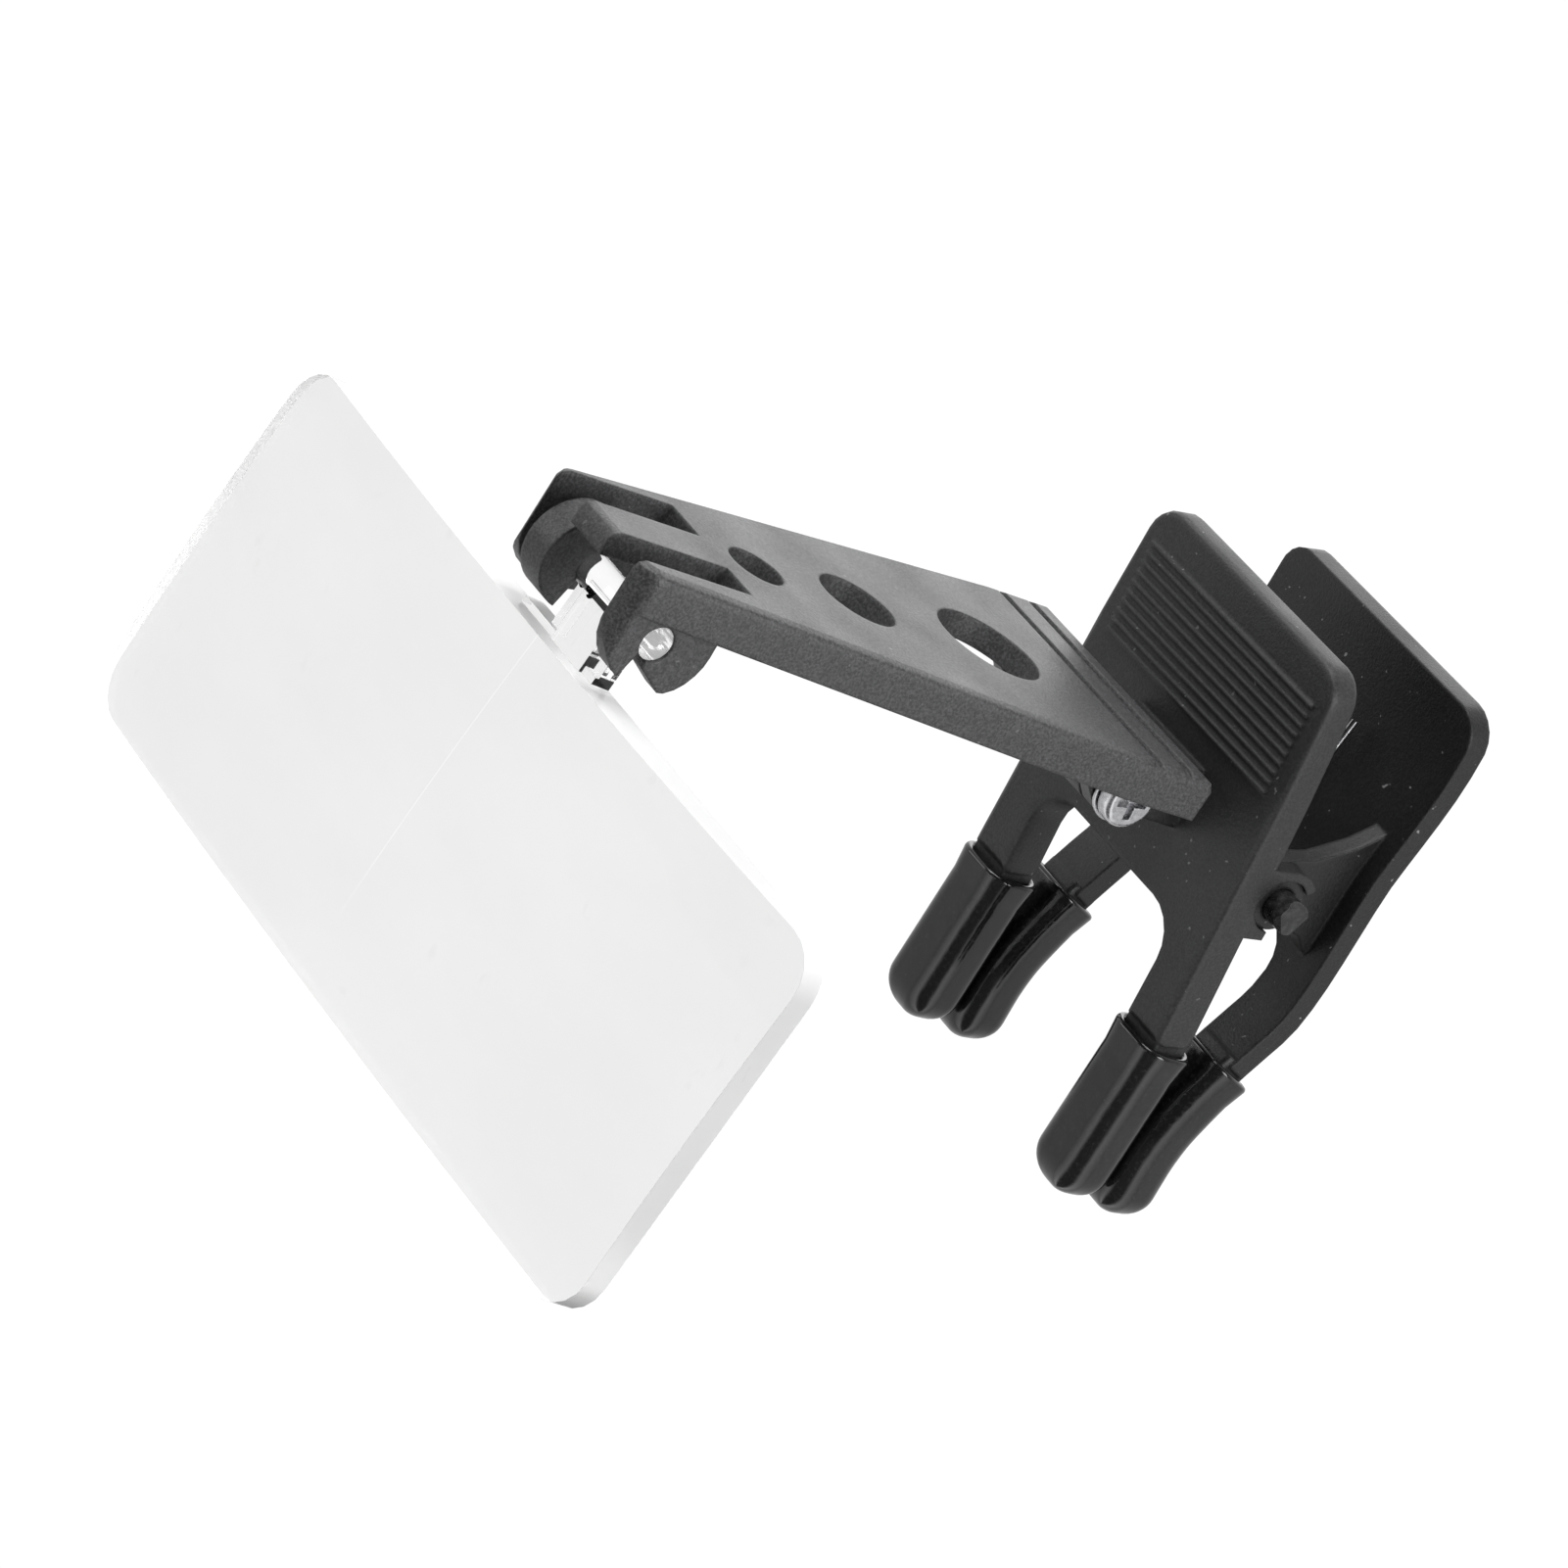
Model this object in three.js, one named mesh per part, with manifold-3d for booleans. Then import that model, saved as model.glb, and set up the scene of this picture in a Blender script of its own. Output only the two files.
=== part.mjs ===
// Clip-on magnifier for spectacles, in millimetres, in the pose of the photograph.
// The origin is the grip point between the closed jaw sleeves. +X is the side on which the screw
// head shows, +Y points from the lens to the clip, +Z points up.

import * as THREE from 'three';
import { mergeVertices } from 'three/addons/utils/BufferGeometryUtils.js';
import Module from 'manifold-3d';

const wasm = await Module();
wasm.setup();

// Fits and counts
const SEAT_GAP = 0.3; // left free where two separate pieces rest on each other
const RUN_GAP = 0.05; // radial play of a shaft that turns in a hole
const OVERRUN = 2; // how far a cutting body reaches past what it cuts
const EMBED = 0.8; // how far a feature reaches into the body that it grows from
const ROUND_SIDES = 40; // facets round a hole or a pin
const QUARTER_TURN = 90; // degrees
const HALF_TURN = 180;
const FULL_TURN = 360;
const CORNER_STEPS = 5; // facets of a rounded corner
const BEVEL_STEPS = 2; // facets of a rounded edge

// The three hinge axes, all along X
const PIVOT_Y = 3.1; // jaw pivot
const PIVOT_Z = 27.8;
const HINGE_Y = -12.05; // screw hinge between the jaw and the arm
const HINGE_Z = 33;
const ARM_SLOPE_DEG = -9.9; // the arm rises towards its tip
const LENS_TILT_DEG = -13.4; // the lower edge of the lens stands forward

// Front jaw, measured from the pivot in a frame that leans with it
const JAW_LEAN_DEG = -2.1; // the pad leans back
const JAW_TOP_T = 3; // thickness at the top edge of the pad
const JAW_FOOT_T = 4.1; // thickness at the prongs, tapered evenly in between
const JAW_FACE_Y = -5.65; // front face
const JAW_TOP_Z = 20.9;
const JAW_TOP_HALF = 13.9;
const JAW_WAIST_Z = 9.4;
const JAW_WAIST_HALF = 14.5;
const JAW_FOOT_Z = -13.2;
const JAW_EDGE_R = 0.7;
const PAD_CORNER_R = 3;
const FORK_TOP_Z = -5.2;
const FORK_CORNER_R = 3.6;
const PRONG_INNER_X = 10;
const PRONG_OUTER_X = 15;

// Grip ridges on the front pad
const RIDGE_COUNT = 10;
const RIDGE_TOP_Z = 17.4;
const RIDGE_PITCH = 0.93;
const RIDGE_HALF_LENGTH = 12.4;
const RIDGE_WIDTH = 0.5;
const RIDGE_CREST = 0.2;
const RIDGE_HEIGHT = 0.32;

// Open hooks of the front jaw that carry the pivot
const EAR_OUTER_X = 14.6;
const EAR_INNER_X = 12.9;
const EAR_OUTER_R = 3.3;
const EAR_MOUTH_DEG = 127;
const EAR_MOUTH_AIM_DEG = -29;

// Knuckle of the front jaw between the lugs of the arm
const KNUCKLE_R = 2.6;
const KNUCKLE_WEB_TOP = 1.4; // above the hinge axis
const KNUCKLE_WEB_DROP = 4.4; // below it, at the jaw

// Soft sleeves and the narrow prong ends inside them
const SLEEVE_HALF_X = 3.2;
const SLEEVE_HALF_T = 2.65;
const SLEEVE_CORNER_R = 1.6;
const SLEEVE_WALL = 0.75;
const SLEEVE_DOME = 2.9;
const SLEEVE_FIT = 0.2; // between the prong end and the sleeve
const PRONG_CORNER_R = 0.5;
const FRONT_RIM_Z = -14.8;
const FRONT_SLEEVE_LENGTH = 12.6; // from the rim to the dome
const FRONT_BEND_DEG = 6.5; // the prong ends bend forward inside their sleeves
const FRONT_SLEEVE_STEPS = 4;

// Rear jaw: middle line of its side view from the pad's top edge to the end of the prong
const REAR_T = 2.1;
const REAR_SPINE = [
  [15.25, 46.9], [15.45, 43.8], [14.9, 39.4], [13.75, 34.9], [12.6, 30.7],
  [11.85, 25.6], [11.1, 20.5], [10.05, 16.6], [8.55, 14.1], [6.85, 11.4], [5.8, 9.3],
  [4.75, 7.1], [3.85, 4.9], [3.25, 2.4], [3, 0.2], [2.9, -1],
];
const REAR_RIM_POINT = 9; // the sleeve starts at this point of the middle line
const REAR_STEPS = 2; // steps from one point of it to the next
const REAR_TOP_HALF = 14.3;

// Rear ears with their bored trunnions, measured from the pivot
const REAR_EAR_OUTER_X = 12.6;
const REAR_EAR_INNER_X = 10.9;
const TRUNNION_R = 2.45;
const TRUNNION_END_X = 14.2;
const REAR_EAR_TOP = [[9.4, 6.6], [7, 5], [5, 4.2], [3.3, 3.5], [1, 3.3], [-0.6, 2.7], [-1.5, 2.1]];
const REAR_EAR_BOTTOM = [[2.4, -2.7], [5.6, -3.9], [8.4, -7]];
const REAR_EAR_ROUND_DEG = [140, 270]; // the round front of the ear between these two edges

// Pivot pin
const PIN_R = 1.5;
const PIN_HALF_X = 16.4;
const PIN_BEVELS = 3;
const PIN_BEVEL_DEG = 38;
const PIN_BEVEL_START = 1.1; // from the axis, on the end face

// Torsion spring
const WIRE_D = 0.65;
const COIL_R = 2.2;
const COIL_HALF_X = 3.1;
const COIL_TURNS = 5; // whole turns on top of the part turn between the legs
const CURL_STEPS = 8;
const WIRE_SIDES = 5;
const FRONT_LEG_RISE = 8.6;
const COIL_RECESS_R = 3.05; // shallow groove in the back of the front jaw, round the pivot
const REAR_LEG_BEND = [8.8, 7.7]; // from the pivot, where the leg starts to lie on the pad
const REAR_LEG_END = [9.85, 11.6];

// Arm, measured along itself from the hinge axis; x is the same as the part's
const BASE_REACH = 2.5;
const TAPER_REACH = 5.5; // from here to the base the sides are parallel
const TIP_HALF = 7.9;
const BASE_HALF = 13.3;
const TIP_CORNER_R = 2.4;
const PLATE_TOP = 5.5; // above the hinge axis
const PLATE_T = 2.2;
const WALL_DEPTH = 3.7;
const WALL_T = 1.3;
const ARM_EDGE_R = 0.9;
const ARM_HOLE_RADII = [2.5, 3.5, 4.8];
const ARM_HOLE_SHARES = [0.775, 0.562, 0.276]; // of the way from the hinge to the axle
const GROOVE_REACHES = [3.8, 0.3];
const GROOVE_WIDTH = 0.85;
const GROOVE_DEPTH = 0.4;
const SLOT_LAND = 2.1; // between the smallest hole and the closed ends of both slots
const TONGUE_HALF = 2.35;
const NEAR_CHEEK_T = 1.8;
const FAR_CHEEK_T = 1.2;

// Hooks that hold the lens axle, measured from the axle along the arm
const AXLE_REACH = 52.1; // from the hinge to the axle
const TIP_PAST_AXLE = 4.8;
const AXLE_R = 1.5;
const CHEEK_OUTLINE = [
  [5.2, 5.5], [5.3, 1.2], [5.35, 0.3], [5.3, -0.6], [5.05, -1.5], [4.6, -2.4], [4, -3.1],
  [3.2, -3.65], [2.6, -3.75], [0.1, -2.3], [-0.1, -1.5], [0.4, 0], [-1.1, -0.9], [-1.8, -3.45],
  [-2.7, -3], [-3.6, -2.2], [-4.3, -1.2], [-4.7, 0], [-4.8, 1], [-4.8, 5.5],
];
const DRUM_R = 4.1;
const DRUM_Y = -1;
const DRUM_Z = 0.3;
const DRUM_OUTER_X = 5.5;
const DRUM_MOUTH = [[0, 0], [-1.1, -0.9], [-2, -4.6], [5, -6], [5, 0]];

// Lugs under the arm's base
const LUG_INSET = 6.1; // from the arm's side to the lug
const LUG_T = 1.7;
const LUG_R = 2.55;
const LUG_FRONT = 5.9;
const LUG_START_DEG = 232;

// Hinge screw, nut and washers
const SHANK_R = 1.5;
const WASHER_T = 0.4;
const WASHER_R = 2.7;
const STACK_GAP = 0.15; // between neighbours on the screw
const HEAD_R = 2.5;
const HEAD_T = 1.4;
const HEAD_RIM_T = 0.6;
const HEAD_TOP_R = 1.9;
const RECESS_WIDTH = 0.7;
const RECESS_LENGTH = 3;
const RECESS_DEPTH = 0.8;
const NUT_CORNER_R = 2.9;
const NUT_T = 2;
const NUT_SIDES = 6;
const SCREW_TAIL = 0.9; // past the nut
const SCREW_TAIL_BEVEL = 0.3;

// Lens, measured from its axle
const LENS_WIDTH = 84;
const LENS_HEIGHT = 34;
const LENS_TOP_Z = -5.6;
const LENS_BACK_Y = 0.64;
const LENS_EDGE_T = 1.9;
const LENS_BULGE_X = 2;
const LENS_BULGE_Z = 0.4;
const LENS_HALF_CENTRE_X = 3; // thickest line of each half, which leaves a faint crease between them
const LENS_CORNER_R = 3.8;
const LENS_COLUMNS = 24;
const LENS_ROWS = 6;

// Neck and axle of the lens
const NECK_HALF = 5.8;
const NECK_TOP_Z = -5;
const NECK_FRONT_Y = -1.26;
const LEG_T = 1.1;
const NECK_FAR_X = -2.1;
const NECK_NEAR_X = 5.8;
const LEG_FRONT_Y = -0.9;
const BOSS_FAR_X = -0.4;
const BOSS_NEAR_X = 4.2;
const BOSS_FRONT_Y = -1.6;
const AXLE_FAR_X = -5.3;
const AXLE_NEAR_X = 7.7;

const RADIANS = Math.PI / 180;

// Points [u, v] of an arc round (u, v), angles in degrees from +u to +v
function arc(u, v, radius, startDeg, endDeg, steps) {
  const points = [];
  for (let i = 0; i <= steps; i += 1) {
    const angle = (startDeg + ((endDeg - startDeg) * i) / steps) * RADIANS;
    points.push([u + radius * Math.cos(angle), v + radius * Math.sin(angle)]);
  }
  return points;
}

// Polygon from corners [u, v, radius] with its corners rounded
function rounded(corners) {
  const points = [];
  corners.forEach(([u, v, radius], i) => {
    const corner = new THREE.Vector2(u, v);
    if (!radius) {
      points.push([u, v]);
      return;
    }
    const last = corners[(i + corners.length - 1) % corners.length];
    const next = corners[(i + 1) % corners.length];
    const back = new THREE.Vector2(last[0], last[1]).sub(corner).normalize();
    const ahead = new THREE.Vector2(next[0], next[1]).sub(corner).normalize();
    const half = Math.acos(back.dot(ahead)) / 2;
    const centre = back.clone().add(ahead).normalize().multiplyScalar(radius / Math.sin(half)).add(corner);
    const turn = Math.sign(back.cross(ahead)) * (Math.PI - 2 * half);
    const start = back.clone().multiplyScalar(radius / Math.tan(half)).add(corner).sub(centre);
    for (let k = 0; k <= CORNER_STEPS; k += 1) {
      const spoke = start.clone().rotateAround(new THREE.Vector2(), (-turn * k) / CORNER_STEPS);
      points.push([centre.x + spoke.x, centre.y + spoke.y]);
    }
  });
  return points;
}

// Both halves of an outline from the points of its right half, listed from top to bottom
function mirrored(right) {
  const left = right.map(([u, ...rest]) => [-u, ...rest]).reverse();
  return [...right, ...left];
}

// Closed solid from a three.js geometry, moved by a matrix
function solid(geometry, matrix = new THREE.Matrix4()) {
  const plain = geometry.clone().applyMatrix4(matrix);
  plain.deleteAttribute('normal');
  plain.deleteAttribute('uv');
  const merged = mergeVertices(plain);
  const mesh = new wasm.Mesh({
    numProp: 3,
    vertProperties: new Float32Array(merged.getAttribute('position').array),
    triVerts: new Uint32Array(merged.index.array),
  });
  mesh.merge();
  return new wasm.Manifold(mesh);
}

// Geometry of an extruded polygon, optionally with both faces' edges rounded
function extrusion(points, depth, edgeRadius) {
  const shape = new THREE.Shape(points.map(([u, v]) => new THREE.Vector2(u, v)));
  const geometry = new THREE.ExtrudeGeometry(shape, {
    depth: depth - 2 * edgeRadius,
    bevelEnabled: edgeRadius > 0,
    bevelThickness: edgeRadius,
    bevelSize: edgeRadius,
    bevelOffset: -edgeRadius,
    bevelSegments: BEVEL_STEPS,
    steps: 1,
  });
  return geometry.translate(0, 0, edgeRadius);
}

// Prism over a polygon of [y, z] points
function prismX(points, startX, endX, matrix) {
  const basis = new THREE.Matrix4().makeBasis(
    new THREE.Vector3(0, 1, 0),
    new THREE.Vector3(0, 0, 1),
    new THREE.Vector3(1, 0, 0),
  );
  return solid(extrusion(points, endX - startX, 0).applyMatrix4(basis).translate(startX, 0, 0), matrix);
}

// Prism over a polygon of [x, z] points
function prismY(points, startY, endY, edgeRadius, matrix) {
  const geometry = extrusion(points, endY - startY, edgeRadius).rotateX(Math.PI / 2);
  return solid(geometry.translate(0, endY, 0), matrix);
}

// Prism over a polygon of [x, y] points
function prismZ(points, startZ, endZ, edgeRadius, matrix) {
  return solid(extrusion(points, endZ - startZ, edgeRadius).translate(0, 0, startZ), matrix);
}

// Box between two corners
function box([startX, startY, startZ], [endX, endY, endZ], matrix) {
  const geometry = new THREE.BoxGeometry(endX - startX, endY - startY, endZ - startZ);
  geometry.translate((startX + endX) / 2, (startY + endY) / 2, (startZ + endZ) / 2);
  return solid(geometry, matrix);
}

// Round bar along X
function rod(radius, startX, endX, y, z, matrix, sides = ROUND_SIDES) {
  const geometry = new THREE.CylinderGeometry(radius, radius, endX - startX, sides);
  geometry.rotateZ(-Math.PI / 2).translate((startX + endX) / 2, y, z);
  return solid(geometry, matrix);
}

function union(solids) {
  return solids.reduce((sum, item) => sum.add(item));
}

// Solid moved by a three.js matrix
function moved(body, matrix) {
  return body.transform(matrix.toArray());
}

// Closed skin over rings of equal point counts, with both ends capped
function skin(rings) {
  const count = rings[0].length;
  const positions = rings.flat().flatMap((point) => point.toArray());
  const index = [];
  for (let i = 0; i < rings.length - 1; i += 1) {
    for (let j = 0; j < count; j += 1) {
      const a = i * count + j;
      const b = i * count + ((j + 1) % count);
      index.push(a, a + count, b, b, a + count, b + count);
    }
  }
  [0, rings.length - 1].forEach((row) => {
    const middle = positions.length / 3;
    const centre = rings[row].reduce((sum, point) => sum.add(point), new THREE.Vector3());
    positions.push(...centre.divideScalar(count).toArray());
    for (let j = 0; j < count; j += 1) {
      const a = row * count + j;
      const b = row * count + ((j + 1) % count);
      index.push(...(row === 0 ? [middle, a, b] : [middle, b, a]));
    }
  });
  const geometry = new THREE.BufferGeometry();
  geometry.setAttribute('position', new THREE.Float32BufferAttribute(positions, 3));
  geometry.setIndex(index);
  return geometry;
}

// Bar of rounded section along part of a curve in the plane x = 0, with a domed far end
function limb({ curve, from, to, steps, centreX, halfX, halfT, corner, dome }, matrix) {
  const section = (scaleShare) => rounded([
    [halfX * scaleShare, -halfT * scaleShare, corner * scaleShare],
    [halfX * scaleShare, halfT * scaleShare, corner * scaleShare],
    [-halfX * scaleShare, halfT * scaleShare, corner * scaleShare],
    [-halfX * scaleShare, -halfT * scaleShare, corner * scaleShare],
  ]);
  const ring = (centre, tangent, scaleShare) => section(scaleShare).map(([u, v]) => new THREE.Vector3(
    centreX + u,
    centre.y - v * tangent.z,
    centre.z + v * tangent.y,
  ));
  const rings = [];
  for (let i = 0; i <= steps; i += 1) {
    const at = from + ((to - from) * i) / steps;
    rings.push(ring(curve.getPoint(at), curve.getTangent(at), 1));
  }
  const end = curve.getPoint(to);
  const tangent = curve.getTangent(to);
  for (let k = 1; k < CORNER_STEPS; k += 1) {
    const angle = (k * Math.PI) / 2 / CORNER_STEPS;
    const centre = end.clone().addScaledVector(tangent, dome * Math.sin(angle));
    rings.push(ring(centre, tangent, Math.cos(angle)));
  }
  return solid(skin(rings), matrix);
}

// Mesh of the part from a solid
function piece(name, body, material, matrix = new THREE.Matrix4()) {
  const data = body.getMesh();
  const geometry = new THREE.BufferGeometry();
  geometry.setAttribute('position', new THREE.BufferAttribute(new Float32Array(data.vertProperties), 3));
  geometry.setIndex(new THREE.BufferAttribute(new Uint32Array(data.triVerts), 1));
  geometry.applyMatrix4(matrix);
  geometry.computeVertexNormals();
  const mesh = new THREE.Mesh(geometry, material);
  mesh.name = name;
  return mesh;
}

const turned = (degrees, y, z) => new THREE.Matrix4()
  .makeTranslation(0, y, z)
  .multiply(new THREE.Matrix4().makeRotationX(degrees * RADIANS));

const jawFrame = turned(JAW_LEAN_DEG, PIVOT_Y, PIVOT_Z);
const armFrame = turned(ARM_SLOPE_DEG, HINGE_Y, HINGE_Z);
const axlePoint = new THREE.Vector3(0, -AXLE_REACH, 0).applyMatrix4(armFrame);
const lensFrame = turned(LENS_TILT_DEG, axlePoint.y, axlePoint.z);

const prongX = (PRONG_INNER_X + PRONG_OUTER_X) / 2;
const prongEndHalfX = SLEEVE_HALF_X - SLEEVE_WALL - SLEEVE_FIT;
const prongEndHalfT = SLEEVE_HALF_T - SLEEVE_WALL - SLEEVE_FIT;
const wireGap = WIRE_D / 2 + SEAT_GAP; // from the middle of the spring wire to what it lies on
const sides = [-1, 1];
const tipReach = AXLE_REACH + TIP_PAST_AXLE;
const holeReaches = ARM_HOLE_SHARES.map((share) => share * AXLE_REACH);
const slotReach = holeReaches[0] + ARM_HOLE_RADII[0] + SLOT_LAND;
const lugOuterX = BASE_HALF - LUG_INSET;
const lugInnerX = lugOuterX - LUG_T;
const knuckleHalfX = lugInnerX - SEAT_GAP;

// Front jaw
const frontBend = FRONT_BEND_DEG * RADIANS;
const frontShoulderZ = FRONT_RIM_Z + SEAT_GAP + SLEEVE_HALF_T * Math.sin(frontBend);
const frontMiddleY = JAW_FACE_Y + JAW_FOOT_T / 2;
const frontCurve = new THREE.CatmullRomCurve3([
  new THREE.Vector3(0, frontMiddleY, FRONT_RIM_Z),
  new THREE.Vector3(
    0,
    frontMiddleY - FRONT_SLEEVE_LENGTH * Math.sin(frontBend),
    FRONT_RIM_Z - FRONT_SLEEVE_LENGTH * Math.cos(frontBend),
  ),
]);

// Thickness of the front jaw at a height
function jawThickness(z) {
  return JAW_TOP_T + ((JAW_FOOT_T - JAW_TOP_T) * (JAW_TOP_Z - z)) / (JAW_TOP_Z - frontShoulderZ);
}

function forkOutline(topZ, topHalf, waistZ, footZ, forkTopZ, shoulderZ) {
  return rounded(mirrored([
    [topHalf, topZ, PAD_CORNER_R],
    [JAW_WAIST_HALF, waistZ, 0],
    [PRONG_OUTER_X, footZ, 0],
    [PRONG_OUTER_X, shoulderZ, 0],
    [PRONG_INNER_X, shoulderZ, 0],
    [PRONG_INNER_X, forkTopZ, FORK_CORNER_R],
  ]));
}

function buildFrontJaw() {
  const outline = forkOutline(JAW_TOP_Z, JAW_TOP_HALF, JAW_WAIST_Z, JAW_FOOT_Z, FORK_TOP_Z, frontShoulderZ);
  const plate = prismY(outline, JAW_FACE_Y, JAW_FACE_Y + JAW_TOP_T, JAW_EDGE_R).warp((point) => {
    const share = jawThickness(point[2]) / JAW_TOP_T;
    point[1] = JAW_FACE_Y + (point[1] - JAW_FACE_Y) * share;
  });
  const parts = [moved(plate, jawFrame)];
  for (let i = 0; i < RIDGE_COUNT; i += 1) {
    const z = RIDGE_TOP_Z - i * RIDGE_PITCH;
    parts.push(prismX([
      [JAW_FACE_Y + EMBED, z - RIDGE_WIDTH / 2],
      [JAW_FACE_Y, z - RIDGE_WIDTH / 2],
      [JAW_FACE_Y - RIDGE_HEIGHT, z - RIDGE_CREST / 2],
      [JAW_FACE_Y - RIDGE_HEIGHT, z + RIDGE_CREST / 2],
      [JAW_FACE_Y, z + RIDGE_WIDTH / 2],
      [JAW_FACE_Y + EMBED, z + RIDGE_WIDTH / 2],
    ], -RIDGE_HALF_LENGTH, RIDGE_HALF_LENGTH, jawFrame));
  }
  sides.forEach((side) => {
    const [startX, endX] = [side * EAR_INNER_X, side * EAR_OUTER_X].sort((a, b) => a - b);
    const hook = union([
      rod(EAR_OUTER_R, startX, endX, 0, 0, jawFrame),
      box([startX, JAW_FACE_Y + JAW_TOP_T - EMBED, -EAR_OUTER_R], [endX, 0, EAR_OUTER_R], jawFrame),
    ]);
    const reach = EAR_OUTER_R + OVERRUN;
    const mouthStart = EAR_MOUTH_AIM_DEG - EAR_MOUTH_DEG / 2;
    const mouth = prismX(
      [[0, 0], ...arc(0, 0, reach, mouthStart, mouthStart + EAR_MOUTH_DEG, CORNER_STEPS)],
      startX - OVERRUN,
      endX + OVERRUN,
      jawFrame,
    );
    parts.push(hook.subtract(mouth));
    parts.push(limb({
      curve: frontCurve,
      from: 0,
      to: 1,
      steps: 1,
      centreX: side * prongX,
      halfX: prongEndHalfX,
      halfT: prongEndHalfT,
      corner: PRONG_CORNER_R,
      dome: SLEEVE_DOME - SLEEVE_WALL - SLEEVE_FIT,
    }, jawFrame));
    parts.push(box(
      [side * prongX - prongEndHalfX, frontMiddleY - prongEndHalfT, FRONT_RIM_Z - EMBED],
      [side * prongX + prongEndHalfX, frontMiddleY + prongEndHalfT, frontShoulderZ + EMBED],
      jawFrame,
    ));
  });
  const jawFaceAtHinge = PIVOT_Y + JAW_FACE_Y + EMBED;
  parts.push(prismX([
    ...arc(HINGE_Y, HINGE_Z, KNUCKLE_R, QUARTER_TURN, QUARTER_TURN + HALF_TURN, ROUND_SIDES / 2),
    [jawFaceAtHinge, HINGE_Z - KNUCKLE_WEB_DROP],
    [jawFaceAtHinge, HINGE_Z + KNUCKLE_WEB_TOP],
    [HINGE_Y + KNUCKLE_R, HINGE_Z + KNUCKLE_WEB_TOP],
  ], -knuckleHalfX, knuckleHalfX));
  const bore = rod(TRUNNION_R + RUN_GAP, -EAR_OUTER_X - OVERRUN, EAR_OUTER_X + OVERRUN, 0, 0, jawFrame);
  const recess = rod(COIL_RECESS_R, -EAR_INNER_X, EAR_INNER_X, 0, 0, jawFrame);
  const legGroove = box(
    [-COIL_HALF_X - wireGap, -COIL_R - wireGap, 0],
    [-COIL_HALF_X + wireGap, 0, FRONT_LEG_RISE + wireGap],
    jawFrame,
  );
  const screwHole = rod(SHANK_R + RUN_GAP, -knuckleHalfX - OVERRUN, knuckleHalfX + OVERRUN, HINGE_Y, HINGE_Z);
  return union(parts).subtract(union([bore, recess, legGroove, screwHole]));
}

// Rear jaw
const spineCurve = new THREE.CatmullRomCurve3(REAR_SPINE.map(([y, z]) => new THREE.Vector3(0, y, z)));
const spineLast = REAR_SPINE.length - 1;
const rimShare = REAR_RIM_POINT / spineLast;
const rimPoint = spineCurve.getPoint(rimShare);
const shoulderShare = rimShare - SEAT_GAP / spineCurve.getLength();

function spineRibbon(endShare, half) {
  const steps = REAR_RIM_POINT * REAR_STEPS;
  const near = [];
  const far = [];
  for (let i = 0; i <= steps; i += 1) {
    const at = (endShare * i) / steps;
    const point = spineCurve.getPoint(at);
    const tangent = spineCurve.getTangent(at);
    near.push([point.y - half * tangent.z, point.z + half * tangent.y]);
    far.push([point.y + half * tangent.z, point.z - half * tangent.y]);
  }
  return [...near, ...far.reverse()];
}

function buildRearJaw() {
  const strip = prismX(spineRibbon(shoulderShare, REAR_T / 2), -PRONG_OUTER_X, PRONG_OUTER_X);
  const topZ = REAR_SPINE[0][1];
  const lowZ = rimPoint.z - OVERRUN;
  const outline = forkOutline(
    topZ,
    REAR_TOP_HALF,
    PIVOT_Z + JAW_WAIST_Z,
    PIVOT_Z + JAW_FOOT_Z,
    PIVOT_Z + FORK_TOP_Z,
    lowZ,
  );
  const parts = [strip.intersect(prismY(outline, -OVERRUN, REAR_SPINE[0][0] + OVERRUN, 0))];
  sides.forEach((side) => {
    parts.push(limb({
      curve: spineCurve,
      from: shoulderShare - EMBED / spineCurve.getLength(),
      to: 1,
      steps: (spineLast - REAR_RIM_POINT) * REAR_STEPS,
      centreX: side * prongX,
      halfX: prongEndHalfX,
      halfT: SLEEVE_HALF_T - SLEEVE_WALL - SLEEVE_FIT,
      corner: PRONG_CORNER_R,
      dome: SLEEVE_DOME - SLEEVE_WALL - SLEEVE_FIT,
    }));
    const [startX, endX] = [side * REAR_EAR_INNER_X, side * REAR_EAR_OUTER_X].sort((a, b) => a - b);
    const earOutline = [
      ...REAR_EAR_TOP,
      ...arc(0, 0, TRUNNION_R, ...REAR_EAR_ROUND_DEG, ROUND_SIDES / 2),
      ...REAR_EAR_BOTTOM,
    ].map(([y, z]) => [PIVOT_Y + y, PIVOT_Z + z]);
    parts.push(prismX(earOutline, startX, endX));
    const [trunnionStart, trunnionEnd] = [side * REAR_EAR_INNER_X, side * TRUNNION_END_X].sort((a, b) => a - b);
    parts.push(rod(TRUNNION_R, trunnionStart, trunnionEnd, PIVOT_Y, PIVOT_Z));
  });
  const bore = rod(PIN_R + RUN_GAP, -PRONG_OUTER_X, PRONG_OUTER_X, PIVOT_Y, PIVOT_Z);
  return union(parts).subtract(bore);
}

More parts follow.
